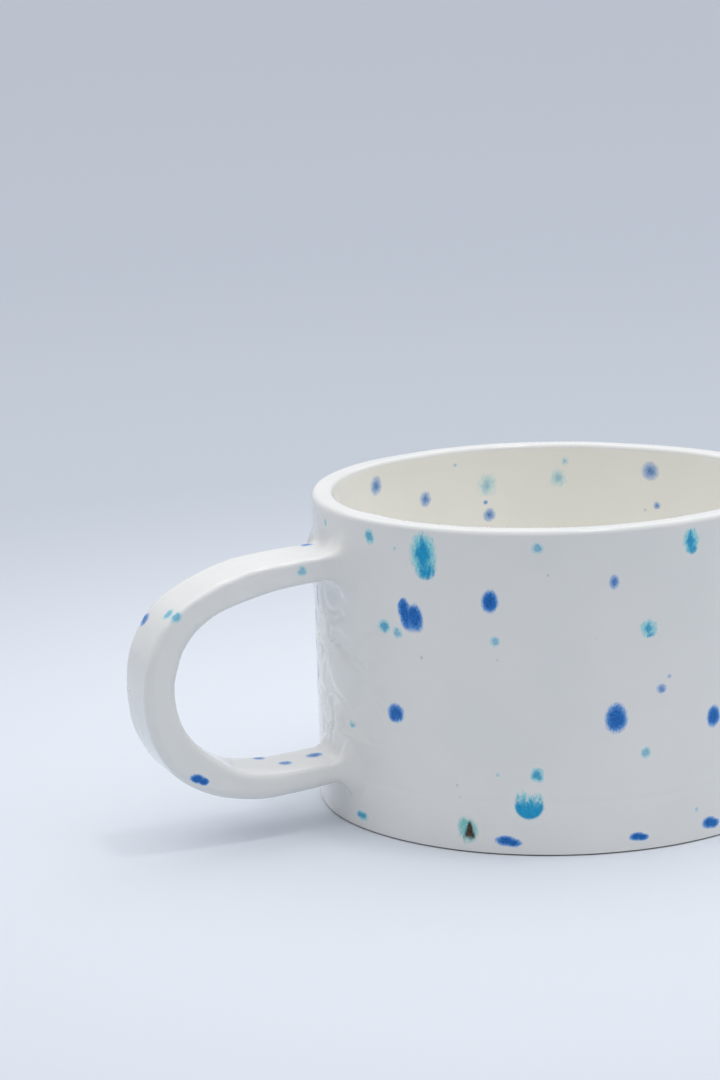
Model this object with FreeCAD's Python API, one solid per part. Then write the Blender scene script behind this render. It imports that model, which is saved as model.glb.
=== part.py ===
"""Hand-built stoneware mug: a low straight cylinder with a squarish strap handle.

Millimetres. The origin is on the mug's axis at the resting plane, +Z is up and the handle points
along -X. Each lump of clay and each layer of glaze is a solid of its own, and neighbours meet
face to face.
"""
import math
import os

import FreeCAD
import Part

Vec = FreeCAD.Vector
AXIS = Vec(0, 0, 1)
ORIGIN = Vec(0, 0, 0)

# Driving dimensions of the finished, glazed mug
outer_diameter = 106.0
height = 69.2
wall_thickness = 4.8
base_thickness = 6.0
rim_round = 1.6
foot_bevel = 0.7
outer_glaze_thickness = 0.5
liner_glaze_thickness = 0.4
glaze_foot_line = 0.9       # the outer glaze stops this far above the resting plane
rim_line = 2.4              # the outer glaze laps over the rim this far down the inside
corner_coil = 3.4           # leg of the coil pressed into the inner corner
corner_coil_sag = 1.15      # how far its hollow face lies from the corner, along each leg
seam_width = 1.6            # clay and slip in the wall's butt joint, behind the handle
strap_width = 15.0
strap_edge_round = 2.0
joint_round = 3.4           # hollow clay round each end of the strap
pin_reach = 2.0             # the spots' cutting pins run this far into and out of the surface
tolerance = 0.01

# Sizes worked out from them
outer_radius = outer_diameter / 2
bore_radius = outer_radius - wall_thickness
clay_radius = outer_radius - outer_glaze_thickness
clay_bore = bore_radius + liner_glaze_thickness
clay_top = height - outer_glaze_thickness
clay_floor = base_thickness - liner_glaze_thickness
clay_rim_round = rim_round - outer_glaze_thickness
strap_start = clay_radius - 2.5     # the outlines start inside the wall and are trimmed to it

# Side view of the glazed strap: distance from the mug's axis, then height
strap_outside = [
    (strap_start, 60.9), (64, 60.1), (74, 59.0), (84.5, 55.5), (92.5, 50.2), (97.2, 42.2),
    (98.5, 33.0), (96.9, 23.8), (91.8, 15.7), (83.5, 10.6), (74, 8.6), (64, 8.9), (strap_start, 10.0),
]
strap_inside = [
    (strap_start, 55.2), (62, 54.4), (72, 53.2), (82.3, 50.2), (88.8, 44.8), (91.5, 38.0),
    (91.8, 31.0), (89.6, 24.8), (84.8, 19.4), (77, 15.6), (68.5, 14.2), (60, 14.4), (strap_start, 15.0),
]

gap_middle = (70, 34)       # middle of the finger gap, as distance from the axis and height

# Coloured spots on the wall: turn from +X in degrees, height, width and height of the spot
wall_cobalt = [
    (-150, 50.0, 5.8, 6.8), (-130, 54.5, 3.4, 4.7), (-102, 58.2, 1.9, 2.9), (-91, 34.6, 2.1, 2.0),
    (-102, 29.3, 4.5, 6.0), (-77, 26.7, 3.4, 4.5), (-155, 28.3, 4.0, 4.0), (-127, 3.1, 5.3, 2.7),
    (-97, 3.2, 4.2, 2.2), (-78, 3.5, 4.5, 3.1), (170, 48.0, 2.0, 4.5), (165, 42.5, 1.6, 3.0),
    (162, 36.0, 1.6, 2.6), (164, 29.3, 2.0, 3.8), (-44, 47.0, 4.4, 5.2), (-58, 12.0, 3.0, 3.8),
    (-22, 22.0, 5.0, 6.0), (-12, 57.0, 2.8, 3.6), (14, 36.0, 3.4, 4.2), (33, 60.0, 4.0, 5.0),
    (48, 18.0, 5.2, 4.0), (66, 43.0, 3.0, 3.0), (84, 8.0, 4.6, 2.6), (97, 55.0, 4.8, 5.8),
    (121, 30.0, 3.2, 4.4), (139, 49.0, 2.6, 3.2), (152, 13.0, 4.2, 3.6), (-89, 37.0, 1.0, 1.0),
]
wall_turquoise = [
    (-146, 62.9, 5.4, 9.0), (-122, 11.3, 6.3, 6.3), (-120, 17.7, 2.5, 3.1), (-83, 64.9, 3.3, 4.9),
    (-94, 47.6, 3.2, 3.6), (-119, 65.8, 2.5, 2.2), (-129, 46.2, 2.1, 2.2), (-158, 46.8, 3.2, 2.9),
    (-154, 45.8, 2.4, 2.5), (-162, 65.7, 2.6, 3.4), (178, 65.8, 1.9, 2.0), (-95, 21.2, 2.2, 2.5),
    (-171, 23.0, 2.5, 1.8), (-168, 3.1, 3.9, 2.2), (-154, 64.0, 1.0, 1.0), (-82, 7.1, 1.1, 1.3),
    (159, 24.9, 1.8, 2.6), (-129, 17.4, 1.0, 1.0), (-63, 30.0, 3.0, 3.6), (-36, 8.0, 4.0, 4.4),
    (-30, 60.0, 4.6, 7.0), (-3, 43.0, 3.0, 3.0), (22, 14.0, 5.0, 5.6), (41, 37.0, 2.6, 3.4),
    (57, 62.0, 3.6, 4.0), (76, 25.0, 4.4, 5.0), (108, 13.0, 2.8, 2.8), (112, 44.0, 5.2, 7.4),
    (133, 62.0, 2.6, 3.0), (147, 27.0, 3.0, 3.0),
]
wall_iron = [(-136, 5.1, 2.6, 4.0)]

# Spots on the liner, inside the mug, in the same form
bore_cobalt = [
    (121, 64.4, 3.5, 3.8), (102, 58.7, 2.6, 3.1), (82, 53.1, 2.5, 2.7), (35, 63.6, 3.7, 3.8),
    (33, 55.5, 1.6, 1.6), (83, 56.2, 1.0, 1.0), (-20, 40.0, 3.4, 4.2), (-70, 57.0, 2.6, 3.2),
    (-115, 34.0, 4.0, 4.8), (170, 46.0, 3.2, 3.8),
]
bore_turquoise = [
    (82.5, 60.2, 4.0, 4.5), (62, 61.4, 3.1, 3.8), (60, 65.4, 1.6, 1.6), (92, 65.9, 1.0, 1.0),
    (5, 59.0, 3.6, 4.0), (-45, 30.0, 4.0, 4.0), (-95, 60.0, 3.0, 3.6), (150, 26.0, 3.8, 4.6),
]

# Spots on the strap: distance from the axis, distance across the strap from its middle, height,
# and the spot's size
strap_cobalt = [
    (93.9, 5.2, 48.4, 3.0), (87.6, -7.5, 15.4, 3.4), (65.5, -0.8, 14.3, 2.8), (69.3, 5.2, 14.3, 2.6),
    (58.2, 0.8, 14.5, 3.0), (55.8, 5.2, 61.2, 2.2), (90.8, 7.5, 44.0, 3.0), (74.0, -1.0, 8.6, 3.2),
]
strap_turquoise = [
    (91.4, -3.8, 50.9, 2.8), (90.6, -7.5, 50.6, 2.0), (62.4, -7.5, 57.8, 2.2), (84.5, 7.5, 17.5, 2.8),
    (91.6, 1.0, 36.0, 2.6),
]


def circle_mean(start, end, sag):
    """Point beside the middle of two points, for the arc that joins them."""
    middle = (start + end) * 0.5
    side = (end - start).cross(Vec(0, 1, 0))
    side.normalize()
    return middle + side * sag


def section(points):
    """Closed face in the XZ plane. An entry with three numbers ends a round stretch whose sag it gives."""
    edges = []
    for start, end in zip(points, points[1:] + points[:1]):
        first = Vec(start[0], 0, start[1])
        last = Vec(end[0], 0, end[1])
        if len(end) == 3:
            edges.append(Part.Arc(first, circle_mean(first, last, end[2]), last).toShape())
        else:
            edges.append(Part.LineSegment(first, last).toShape())
    return Part.Face(Part.Wire(edges))


def turned(points):
    return section(points).revolve(ORIGIN, AXIS, 360)


def quarter_sag(radius):
    return radius * (1 - math.sqrt(0.5))


def base_slab():
    return turned([
        (0, 0), (clay_radius - foot_bevel, 0), (clay_radius, foot_bevel),
        (clay_radius, clay_floor), (0, clay_floor),
    ])


def wall_ring():
    edge = clay_rim_round
    return turned([
        (clay_bore, clay_floor), (clay_radius, clay_floor), (clay_radius, clay_top - edge),
        (clay_radius - edge, clay_top, -quarter_sag(edge)), (clay_bore + edge, clay_top),
        (clay_bore, clay_top - edge, -quarter_sag(edge)),
    ])


def seam_slice():
    """Thin upright box through the wall behind the handle, where the slab's two ends meet."""
    reach = outer_radius
    slice_box = Part.makeBox(reach, seam_width, height)
    slice_box.translate(Vec(-reach, -seam_width / 2, 0))
    return slice_box


def coil_face_sag(leg):
    """Bulge of the arc across a corner of this leg, so that it keeps corner_coil_sag from the corner."""
    return leg / math.sqrt(2) - corner_coil_sag * math.sqrt(2)


def base_joint_coil():
    inner = clay_bore - corner_coil
    return turned([
        (inner, clay_floor, coil_face_sag(corner_coil)), (clay_bore, clay_floor),
        (clay_bore, clay_floor + corner_coil),
    ])


def liner_glaze():
    leg = corner_coil + liner_glaze_thickness
    top = height - rim_line
    return turned([
        (0, clay_floor), (clay_bore - corner_coil, clay_floor),
        (clay_bore, clay_floor + corner_coil, -coil_face_sag(corner_coil)),
        (clay_bore, top), (bore_radius, top), (bore_radius, base_thickness + leg),
        (bore_radius - leg, base_thickness, coil_face_sag(leg)), (0, base_thickness),
    ])


def cup_glaze():
    """Outer glaze of the cylinder: up the outside, over the rim and a little way down the inside."""
    edge = rim_round
    clay_edge = clay_rim_round
    low = glaze_foot_line
    return turned([
        (clay_radius, low), (outer_radius, low), (outer_radius, height - edge),
        (outer_radius - edge, height, -quarter_sag(edge)), (bore_radius + edge, height),
        (bore_radius, height - edge, -quarter_sag(edge)), (bore_radius, height - rim_line),
        (clay_bore, height - rim_line), (clay_bore, clay_top - clay_edge),
        (clay_bore + clay_edge, clay_top, quarter_sag(clay_edge)), (clay_radius - clay_edge, clay_top),
        (clay_radius, clay_top - clay_edge, quarter_sag(clay_edge)),
    ])


def smooth_curve(points):
    curve = Part.BSplineCurve()
    curve.interpolate([Vec(-u, 0, z) for u, z in points])
    return curve


def inset_curve(points, inset):
    """Curve through the outline's points, each moved square to the outline by inset."""
    curve = smooth_curve(points)
    moved = []
    for u, z in points:
        tangent = curve.tangent(curve.parameter(Vec(-u, 0, z)))[0]
        side = tangent.cross(Vec(0, 1, 0))
        moved.append((u - side.x * inset, z + side.z * inset))
    return smooth_curve(moved)


def strap(glaze):
    """Strap with rounded edges, less a skin of this thickness, running on into the wall."""
    outside = inset_curve(strap_outside, glaze)
    inside = inset_curve(strap_inside, -glaze)
    low_end = Part.LineSegment(outside.EndPoint, inside.EndPoint)
    high_end = Part.LineSegment(inside.StartPoint, outside.StartPoint)
    edges = [outside.toShape(), low_end.toShape(), inside.toShape(), high_end.toShape()]
    face = Part.Face(Part.Wire(Part.__sortEdges__(edges)))
    width = strap_width - 2 * glaze
    face.translate(Vec(0, -width / 2, 0))
    body = face.extrude(Vec(0, width, 0))
    long_edges = [edge for edge in body.Edges if edge.Length > height and edge.BoundBox.YLength < tolerance]
    return body.makeFillet(strap_edge_round - glaze, long_edges)


def at_joint(edge, drum_radius):
    """Whether this is an edge along which the strap runs into the drum."""
    middle = edge.valueAt((edge.FirstParameter + edge.LastParameter) / 2)
    on_drum = abs(math.hypot(middle.x, middle.y) - drum_radius) < tolerance
    by_strap = middle.x < 0 and abs(middle.y) < strap_width and edge.Length < 2 * strap_width
    return on_drum and by_strap and tolerance < middle.z < height - tolerance


def handle(glaze):
    """Strap with its hollow joints, outside the wall. Returns the whole and the plain strap."""
    radius = outer_radius - glaze
    drum = Part.makeCylinder(radius, height)
    plain = strap(glaze)
    joined = drum.fuse(plain)
    round_size = joint_round - (outer_glaze_thickness - glaze)
    whole = joined.makeFillet(round_size, [edge for edge in joined.Edges if at_joint(edge, radius)])
    return whole.cut(drum), plain.cut(drum)


def oval_pin(width, tall, length):
    """Oval prism along +X from the origin."""
    pin = Part.makeCylinder(0.5, length, ORIGIN, Vec(1, 0, 0))
    stretch = FreeCAD.Matrix()
    stretch.scale(1, width, tall)
    return pin.transformGeometry(stretch)


def wall_pins(spots, radius):
    """Radial oval prisms through a layer of glaze at this radius."""
    pins = []
    for turn, level, width, tall in spots:
        pin = oval_pin(width, tall, 2 * pin_reach)
        pin.translate(Vec(radius - pin_reach, 0, 0))
        pin.rotate(ORIGIN, AXIS, turn)
        pin.translate(Vec(0, 0, level))
        pins.append(pin)
    return pins


def strap_pins(spots):
    """Round pins square to the strap's surface. Those on a side run across it, the rest away from the gap."""
    pins = []
    for out, across, level, size in spots:
        if abs(across) > strap_width / 2 - tolerance:
            way = Vec(0, across, 0)
        else:
            way = Vec(gap_middle[0] - out, 0, level - gap_middle[1])
        way.normalize()
        start = Vec(-out, across, level) - way * pin_reach
        pins.append(Part.makeCylinder(size / 2, 2 * pin_reach, start, way))
    return pins


def solids_of(shape):
    return Part.makeCompound(shape.Solids)


def inlay(layers, tools):
    """Cuts the tools' shapes out of each layer. Returns the cut pieces as one group."""
    pieces = []
    for name in layers:
        piece = layers[name].common(Part.makeCompound(tools))
        if piece.Solids:
            pieces += piece.Solids
            layers[name] = layers[name].cut(Part.makeCompound(tools))
    return Part.makeCompound(pieces)


def build():
    ring = wall_ring()
    seam = seam_slice()
    handle_clay, strap_clay = handle(outer_glaze_thickness)
    handle_whole, _ = handle(0)
    coils = sorted(handle_clay.cut(strap_clay).Solids, key=lambda solid: solid.CenterOfMass.z)
    layers = {
        "outer_glaze": cup_glaze().cut(handle_clay),
        "handle_glaze": handle_whole.cut(handle_clay),
        "liner_glaze": liner_glaze(),
    }
    cobalt = wall_pins(wall_cobalt, outer_radius) + wall_pins(bore_cobalt, bore_radius)
    turquoise = wall_pins(wall_turquoise, outer_radius) + wall_pins(bore_turquoise, bore_radius)
    nodes = {
        "base_slab": base_slab(),
        "wall_slab": ring.cut(seam),
        "wall_seam": ring.common(seam),
        "base_joint_coil": base_joint_coil(),
        "handle_strap": strap_clay,
        "lower_joint_coil": coils[0],
        "upper_joint_coil": coils[-1],
        "cobalt_spots": inlay(layers, cobalt + strap_pins(strap_cobalt)),
        "turquoise_spots": inlay(layers, turquoise + strap_pins(strap_turquoise)),
        "iron_spot": inlay(layers, wall_pins(wall_iron, outer_radius)),
    }
    nodes.update(layers)
    return nodes


os.makedirs("parts", exist_ok=True)
for node_name, node_shape in build().items():
    node_shape = solids_of(node_shape)
    box = node_shape.BoundBox
    print(
        f"{node_name}: {len(node_shape.Solids)} solids, valid {node_shape.isValid()},"
        f" {node_shape.Volume:.1f} mm3, x {box.XMin:.2f} {box.XMax:.2f}, z {box.ZMin:.2f} {box.ZMax:.2f}"
    )
    node_shape.exportStep(f"parts/{node_name}.step")
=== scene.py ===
"""Looks of the hand-built stoneware mug.

The glazed surface is one distance field, in millimetres: a wavering cylinder, its hollow and a strap,
with soft hollow joints between them. Every glaze piece is meshed from that field.
"""
import itertools
import math

import bpy
import numpy as np
from mathutils import Matrix, Vector


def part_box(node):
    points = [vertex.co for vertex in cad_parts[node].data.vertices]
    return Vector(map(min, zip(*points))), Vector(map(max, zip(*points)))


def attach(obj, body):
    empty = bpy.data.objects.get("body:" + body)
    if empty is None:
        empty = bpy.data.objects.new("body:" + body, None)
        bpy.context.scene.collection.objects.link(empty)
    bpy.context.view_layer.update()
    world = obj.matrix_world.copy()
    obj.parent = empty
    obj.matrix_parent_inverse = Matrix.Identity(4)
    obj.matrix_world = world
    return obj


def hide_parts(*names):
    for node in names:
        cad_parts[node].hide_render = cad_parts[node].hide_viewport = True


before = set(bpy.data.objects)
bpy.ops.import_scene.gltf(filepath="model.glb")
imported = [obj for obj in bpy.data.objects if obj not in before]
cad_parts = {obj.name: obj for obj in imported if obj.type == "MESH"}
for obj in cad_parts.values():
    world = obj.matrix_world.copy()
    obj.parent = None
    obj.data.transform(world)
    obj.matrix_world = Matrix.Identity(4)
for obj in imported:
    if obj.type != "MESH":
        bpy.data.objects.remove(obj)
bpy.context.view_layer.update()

MM = 0.001
SPACING = 0.66         # distance between the meshes' points


def box_mm(node):
    """Low and high corner of a CAD node's box, in millimetres."""
    low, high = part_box(node)
    return np.array(low) / MM, np.array(high) / MM


coat_low, coat_high = box_mm("outer_glaze")
strap_low = box_mm("handle_glaze")[0]
liner_low, liner_high = box_mm("liner_glaze")
clay_high = box_mm("base_slab")[1]
bare_strap_high = box_mm("handle_strap")[1]

OUTER = coat_high[0]                          # outer radius
HEIGHT = coat_high[2]
FOOT_LINE = coat_low[2]                       # where the outer glaze stops
CLAY_RADIUS = clay_high[0]
CLAY_BORE = liner_high[0]
CLAY_FLOOR = liner_low[2]
LINER_SKIN = 0.4
BORE = CLAY_BORE - LINER_SKIN
FLOOR = CLAY_FLOOR + LINER_SKIN
COAT_SKIN = OUTER - CLAY_RADIUS
LAP_DEPTH = 0.22                              # how far each glaze sinks under the other at the rim
LEAST_COVER = 0.12                            # the glaze is never thinner than this over the clay
FOOT_RUN = 0.45                               # how far the melted glaze crept down below its line
RIM_ROUND = 1.25
SIDE_BLEED = 1.08                             # how much wider the coloured drops melted than they lay
CORNER_ROUND = 4.2                            # hollow corner between wall and floor, inside
STRAP_HALF = bare_strap_high[1] + COAT_SKIN   # half the width of the glazed strap
JOINT_ZONE = 10                               # how far in from the wall's handle side the joints reach
LINER_TOP = 0.35                              # how far under the rim the liner's edge is
COAT_LAP = 2.8                                # how far under the rim the outer coat's lap ends, inside
SPOT_LIFT = 0.045                             # how far the coloured drops stand out
SPOT_DEPTH = 0.3

# Side view of the strap's outer and inner face: distance from the mug's axis, then height
STRAP_OUTSIDE = [
    (50, 60.9), (64, 60.1), (74, 59.0), (84.5, 55.5), (92.5, 50.2), (97.2, 42.2),
    (98.5, 33.0), (96.9, 23.8), (91.8, 15.7), (83.5, 10.6), (74, 8.6), (64, 8.9), (50, 10.0),
]
STRAP_INSIDE = [
    (50, 15.0), (60, 14.4), (68.5, 14.2), (77, 15.5), (84.0, 19.9), (89.0, 25.2),
    (91.2, 31.2), (90.9, 38.0), (88.2, 44.5), (81.8, 49.9), (72, 53.1), (62, 54.4), (50, 55.2),
]


# ---------------------------------------------------------------- smooth random fields

def lattice_values(cells, seed):
    """One repeatable value from -1 to 1 for each whole-number cell. Large odd factors scatter the bits."""
    whole = cells.astype(np.int64)
    mixed = whole[:, 0] * 73856093 ^ whole[:, 1] * 19349663 ^ whole[:, 2] * 83492791 ^ seed * 2654435
    mixed = (mixed ^ (mixed >> 13)) * 1274126177 & 0x7FFFFFFF
    mixed = (mixed ^ (mixed >> 15)) * 846263 & 0x7FFFFFFF
    return (mixed & 0xFFFF) / 32767.5 - 1


def noise(points, size, seed):
    """Smooth values from -1 to 1 that change over about this many millimetres."""
    place = points / size
    cell = np.floor(place)
    part = place - cell
    blend = part ** 3 * (part * (part * 6 - 15) + 10)
    total = np.zeros(len(points))
    for corner in itertools.product((0, 1), repeat=3):
        weight = np.ones(len(points))
        for axis, step in enumerate(corner):
            weight = weight * (blend[:, axis] if step else 1 - blend[:, axis])
        total += weight * lattice_values(cell + np.array(corner), seed)
    return total


def smooth_step(value, start, end):
    """Eases from 0 at the start to 1 at the end."""
    share = np.clip((value - start) / (end - start), 0, 1)
    return share * share * (3 - 2 * share)


def bump(value, middle, width):
    """1 in the middle, fading away on both sides."""
    return np.exp(-((value - middle) / width) ** 2)


# ---------------------------------------------------------------- the glazed surface

def round_cut(a, b, radius):
    """Where both fields are inside, with the edge between them rounded."""
    corner = np.hypot(np.maximum(a + radius, 0), np.maximum(b + radius, 0))
    return np.minimum(np.maximum(a, b), -radius) + corner


def round_join(a, b, radius):
    """Where either field is inside, with a hollow fillet between them."""
    corner = np.hypot(np.maximum(radius - a, 0), np.maximum(radius - b, 0))
    return np.maximum(np.minimum(a, b), radius) - corner


def through(points, count):
    """Smooth curve through a few points, as this many points (centripetal Catmull-Rom)."""
    known = np.array(points, float)
    ends = np.vstack([2 * known[0] - known[1], known, 2 * known[-1] - known[-2]])
    steps = np.sqrt(np.linalg.norm(np.diff(ends, axis=0), axis=1))
    times = np.concatenate([[0], np.cumsum(steps)])
    curve = []
    for t in np.linspace(times[1], times[-2] - 1e-9, count):
        i = int(np.searchsorted(times, t, side="right")) - 1
        p, k = ends[i - 1:i + 3], times[i - 1:i + 3]
        a = [p[j] + (p[j + 1] - p[j]) * (t - k[j]) / (k[j + 1] - k[j]) for j in range(3)]
        b = [a[j] + (a[j + 1] - a[j]) * (t - k[j]) / (k[j + 2] - k[j]) for j in range(2)]
        curve.append(b[0] + (b[1] - b[0]) * (t - k[1]) / (k[2] - k[1]))
    return np.array(curve)


class StrapProfile:
    """Signed distance to the strap's side view, on a fine grid that is then looked up."""

    cell = 0.25
    margin = 8.0

    def __init__(self):
        outline = np.vstack([through(STRAP_OUTSIDE, 420), through(STRAP_INSIDE, 400)])
        self.low = outline.min(0) - self.margin
        high = outline.max(0) + self.margin
        across = np.arange(self.low[0], high[0], self.cell)
        up = np.arange(self.low[1], high[1], self.cell)
        grid = np.stack(np.meshgrid(across, up, indexing="ij"), -1).reshape(-1, 2)
        ends = np.roll(outline, -1, 0)
        nearest = np.full(len(grid), 1e9)
        inside = np.zeros(len(grid), bool)
        for start, end in zip(outline, ends):
            way = end - start
            share = np.clip((grid - start) @ way / (way @ way), 0, 1)
            gap = grid - start - share[:, None] * way
            nearest = np.minimum(nearest, (gap ** 2).sum(1))
            if start[1] != end[1]:
                crosses = (start[1] > grid[:, 1]) != (end[1] > grid[:, 1])
                at = start[0] + (grid[:, 1] - start[1]) * way[0] / way[1]
                inside ^= crosses & (grid[:, 0] < at)
        signed = np.sqrt(nearest) * np.where(inside, -1, 1)
        table = signed.reshape(len(across), len(up))
        weights = bump(np.arange(-4, 5), 0, 2.2)
        weights /= weights.sum()
        for axis in (0, 1):
            padded = np.pad(table, [(4, 4) if axis == a else (0, 0) for a in (0, 1)], mode="edge")
            table = sum(
                w * np.take(padded, np.arange(k, k + table.shape[axis]), axis=axis)
                for k, w in enumerate(weights)
            )
        self.table = table

    def __call__(self, out, up):
        place = np.stack([out - self.low[0], up - self.low[1]], -1) / self.cell
        limit = np.array(self.table.shape) - 1.001
        held = np.clip(place, 0, limit)
        past = np.linalg.norm(place - held, axis=-1) * self.cell
        cell = held.astype(int)
        part = held - cell
        i, j = cell[:, 0], cell[:, 1]
        low = self.table[i, j] * (1 - part[:, 1]) + self.table[i, j + 1] * part[:, 1]
        high = self.table[i + 1, j] * (1 - part[:, 1]) + self.table[i + 1, j + 1] * part[:, 1]
        return low * (1 - part[:, 0]) + high * part[:, 0] + past


strap_profile = StrapProfile()


def behind_handle(turn, level):
    """How much a point on the wall lies in the patch that the handle covers, from 0 to 1."""
    return bump(turn, 3, 15) * smooth_step(level, 12, 20) * (1 - smooth_step(level, 50, 58))


def not_below(value, least, softness):
    """The value, eased so that it never falls below the least one."""
    above = value - least
    return least + 0.5 * (above + np.sqrt(above ** 2 + softness ** 2))


def wrinkles(points):
    """Curled creases and soft dents in clay that was pushed about and left."""
    spread = points * np.array([1.0, 0.55, 1.0])
    warp = np.stack([noise(spread, 6, seed) for seed in (61, 62, 63)], -1)
    curled = spread + 4.5 * warp
    lines = bump(noise(curled, 10, 7), 0, 0.12) + 0.7 * bump(noise(curled, 6, 8), 0.1, 0.12)
    return 0.55 + 0.40 * noise(curled, 8, 9) + 0.12 * noise(spread, 3.2, 10) - 0.38 * lines


def smear_of(points):
    """Smear of joining clay on the wall, beyond the handle: 1 in its middle, 0 elsewhere."""
    turn = np.degrees(np.arctan2(points[:, 1], points[:, 0]))
    level = points[:, 2]
    return bump(turn, 159, 3.0) * smooth_step(level, 46.5, 52) * (1 - smooth_step(level, 57, 62))


def wall_shift(points):
    """How far the wall stands out from a true cylinder."""
    turn = np.arctan2(points[:, 1], points[:, 0])
    level = points[:, 2]
    shift = 0.10 * np.cos(2 * turn + 0.7) + 0.05 * np.cos(3 * turn - 1.1)
    shift += 0.10 * noise(points, 26, 3) + 0.035 * noise(points, 9, 4)
    shift -= 0.05 * bump(level, 11.5, 0.7) + 0.03 * bump(level, 14.5, 1.2)
    near = points[:, 0] < 0
    if near.any():
        from_handle = np.degrees(np.arctan2(-points[near, 1], -points[near, 0]))
        height = level[near]
        shift[near] += behind_handle(from_handle, height) * wrinkles(points[near])
        shift[near] += 1.4 * smear_of(points[near])
        # small ridge of clay above the lower joint
        shift[near] += 0.35 * bump(height, 21.5 - 0.1 * from_handle, 0.7) * bump(from_handle, 8, 8)
    return not_below(shift, LEAST_COVER - COAT_SKIN, 0.08)


def rim_shift(points):
    """How far the rim rises and dips around its circle."""
    turn = np.arctan2(points[:, 1], points[:, 0])
    circle = np.stack([np.cos(turn) * OUTER, np.sin(turn) * OUTER, 0 * turn], -1)
    return 0.25 + 0.12 * np.cos(2 * turn + 2.2) + 0.05 * np.cos(5 * turn) + 0.10 * noise(circle, 14, 11)


def below_rim(points):
    """How far a point lies under the rim's own top."""
    return HEIGHT + rim_shift(points) - points[:, 2]


def strap_distance(points):
    """Signed distance to the glazed strap, with its sway, its uneven edges and its marks."""
    out, across, level = -points[:, 0], points[:, 1], points[:, 2]
    swayed = across - 0.35 * np.sin((level - 30) / 17) * smooth_step(out, 56, 80)
    half = STRAP_HALF + 0.2 + 0.15 * noise(points, 11, 21)
    face = strap_profile(out, level) + 0.10 * noise(points, 8, 22) + 0.03 * noise(points, 3, 23)
    crown = 0.25 * (swayed / STRAP_HALF) ** 2
    # a fettled line runs along each long edge, a little inside it
    line = np.abs(swayed) - STRAP_HALF + 1.7 + 0.6 * noise(points, 8, 26)
    ridge = 0.045 * bump(line, 0, 0.35) * (1 + noise(points, 4, 27))
    crisp = np.maximum(smooth_step(level, 46, 54), bump(level, 14.5, 1.6) * smooth_step(95 - out, 8, 16))
    edge = 1.9 - 0.95 * crisp + 0.25 * noise(points, 7, 24)
    side = np.abs(swayed) - half + (0.05 + 0.11 * crisp) * noise(points, 2.9, 25)
    # a shallow drag mark slants over the outer face, on the far side
    mark = bump(level - 31.8 - 0.43 * swayed, 0, 0.35) * smooth_step(out, 93, 96) * smooth_step(swayed, 0, 3)
    face += 0.12 * mark
    return round_cut(side, face + crown - ridge, edge)


def joint_size(points, plain):
    """Radius of the hollow joint: small above the upper arm and below the lower one, wide sideways."""
    across, level = points[:, 1], points[:, 2]
    upper = smooth_step(level, 30, 38)
    over_upper = smooth_step(level, 56.5, 60.5)
    over_lower = smooth_step(level, 10.5, 14.0)
    on_top = 1.6 + 3.6 * smooth_step(-across, -3.0, 5.0)
    on_upper = 3.2 + (on_top - 3.2) * over_upper
    up_and_down = upper * on_upper + (1 - upper) * (1.4 + 1.8 * over_lower)
    sideways = smooth_step(np.abs(across), STRAP_HALF - 3.5, STRAP_HALF + 1.0)
    wide = np.where(across < 0, 6.0, 3.6)
    wander = 0 if plain else 0.45 * noise(points, 6, 31)
    return up_and_down * (1 - sideways) + wide * sideways + wander


def edge_waver(points):
    """How far the rim's inner edge wanders outward, next to the handle."""
    turn = np.degrees(np.arctan2(points[:, 1], points[:, 0]))
    waver = 0.35 * bump(turn, -150, 7) - 0.65 * bump(turn, -165, 6)
    return waver * smooth_step(points[:, 2], HEIGHT - 9, HEIGHT)


def glaze_distance(points, plain=False):
    """Signed distance, in millimetres, to the glazed mug. It has no underside."""
    radius = np.hypot(points[:, 0], points[:, 1])
    shift = 0 if plain else wall_shift(points)
    rise = 0 if plain else rim_shift(points)
    level = points[:, 2]
    top = level - HEIGHT - rise * smooth_step(level, HEIGHT * 0.5, HEIGHT)
    body = round_cut(radius - OUTER - shift, top, RIM_ROUND)
    near = points[:, 0] < JOINT_ZONE - OUTER
    if near.any():
        close = points[near]
        body[near] = round_join(body[near], strap_distance(close), joint_size(close, plain))
    ripple = 0 if plain else 0.06 * noise(points, 20, 41)
    inward = 0 if plain else -0.6 * np.clip(shift, -0.3, 0.3) - edge_waver(points) - ripple
    # the coats sink where they cross, and must still hide the clay there
    inward = not_below(inward, LEAST_COVER + LAP_DEPTH / 2 - LINER_SKIN, 0.05)
    hollow = round_cut(radius - BORE + inward, FLOOR - level + 0.5 * ripple, CORNER_ROUND)
    return round_cut(body, -hollow, RIM_ROUND)


def slope_of(points, field, reach=0.25):
    """Direction in which the field grows, at each point."""
    slope = np.zeros_like(points)
    for axis in range(3):
        step = np.zeros(3)
        step[axis] = reach
        slope[:, axis] = (field(points + step) - field(points - step)) / (2 * reach)
    return slope


def settle(points, field, offset=0.0, rounds=4, held=None):
    """Moves points square to the surface until the field is at offset there. Held ones stay level."""
    for _ in range(rounds):
        slope = slope_of(points, field)
        if held is not None:
            slope[held, 2] = 0
        size = np.maximum((slope ** 2).sum(1), 0.05)
        points = points - slope * ((field(points) - offset) / size)[:, None]
    return points


def normals_of(points, field):
    """Unit normals of the surface at each point."""
    slope = slope_of(points, field)
    return slope / np.maximum(np.linalg.norm(slope, axis=1), 1e-9)[:, None]


# ---------------------------------------------------------------- meshing

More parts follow.
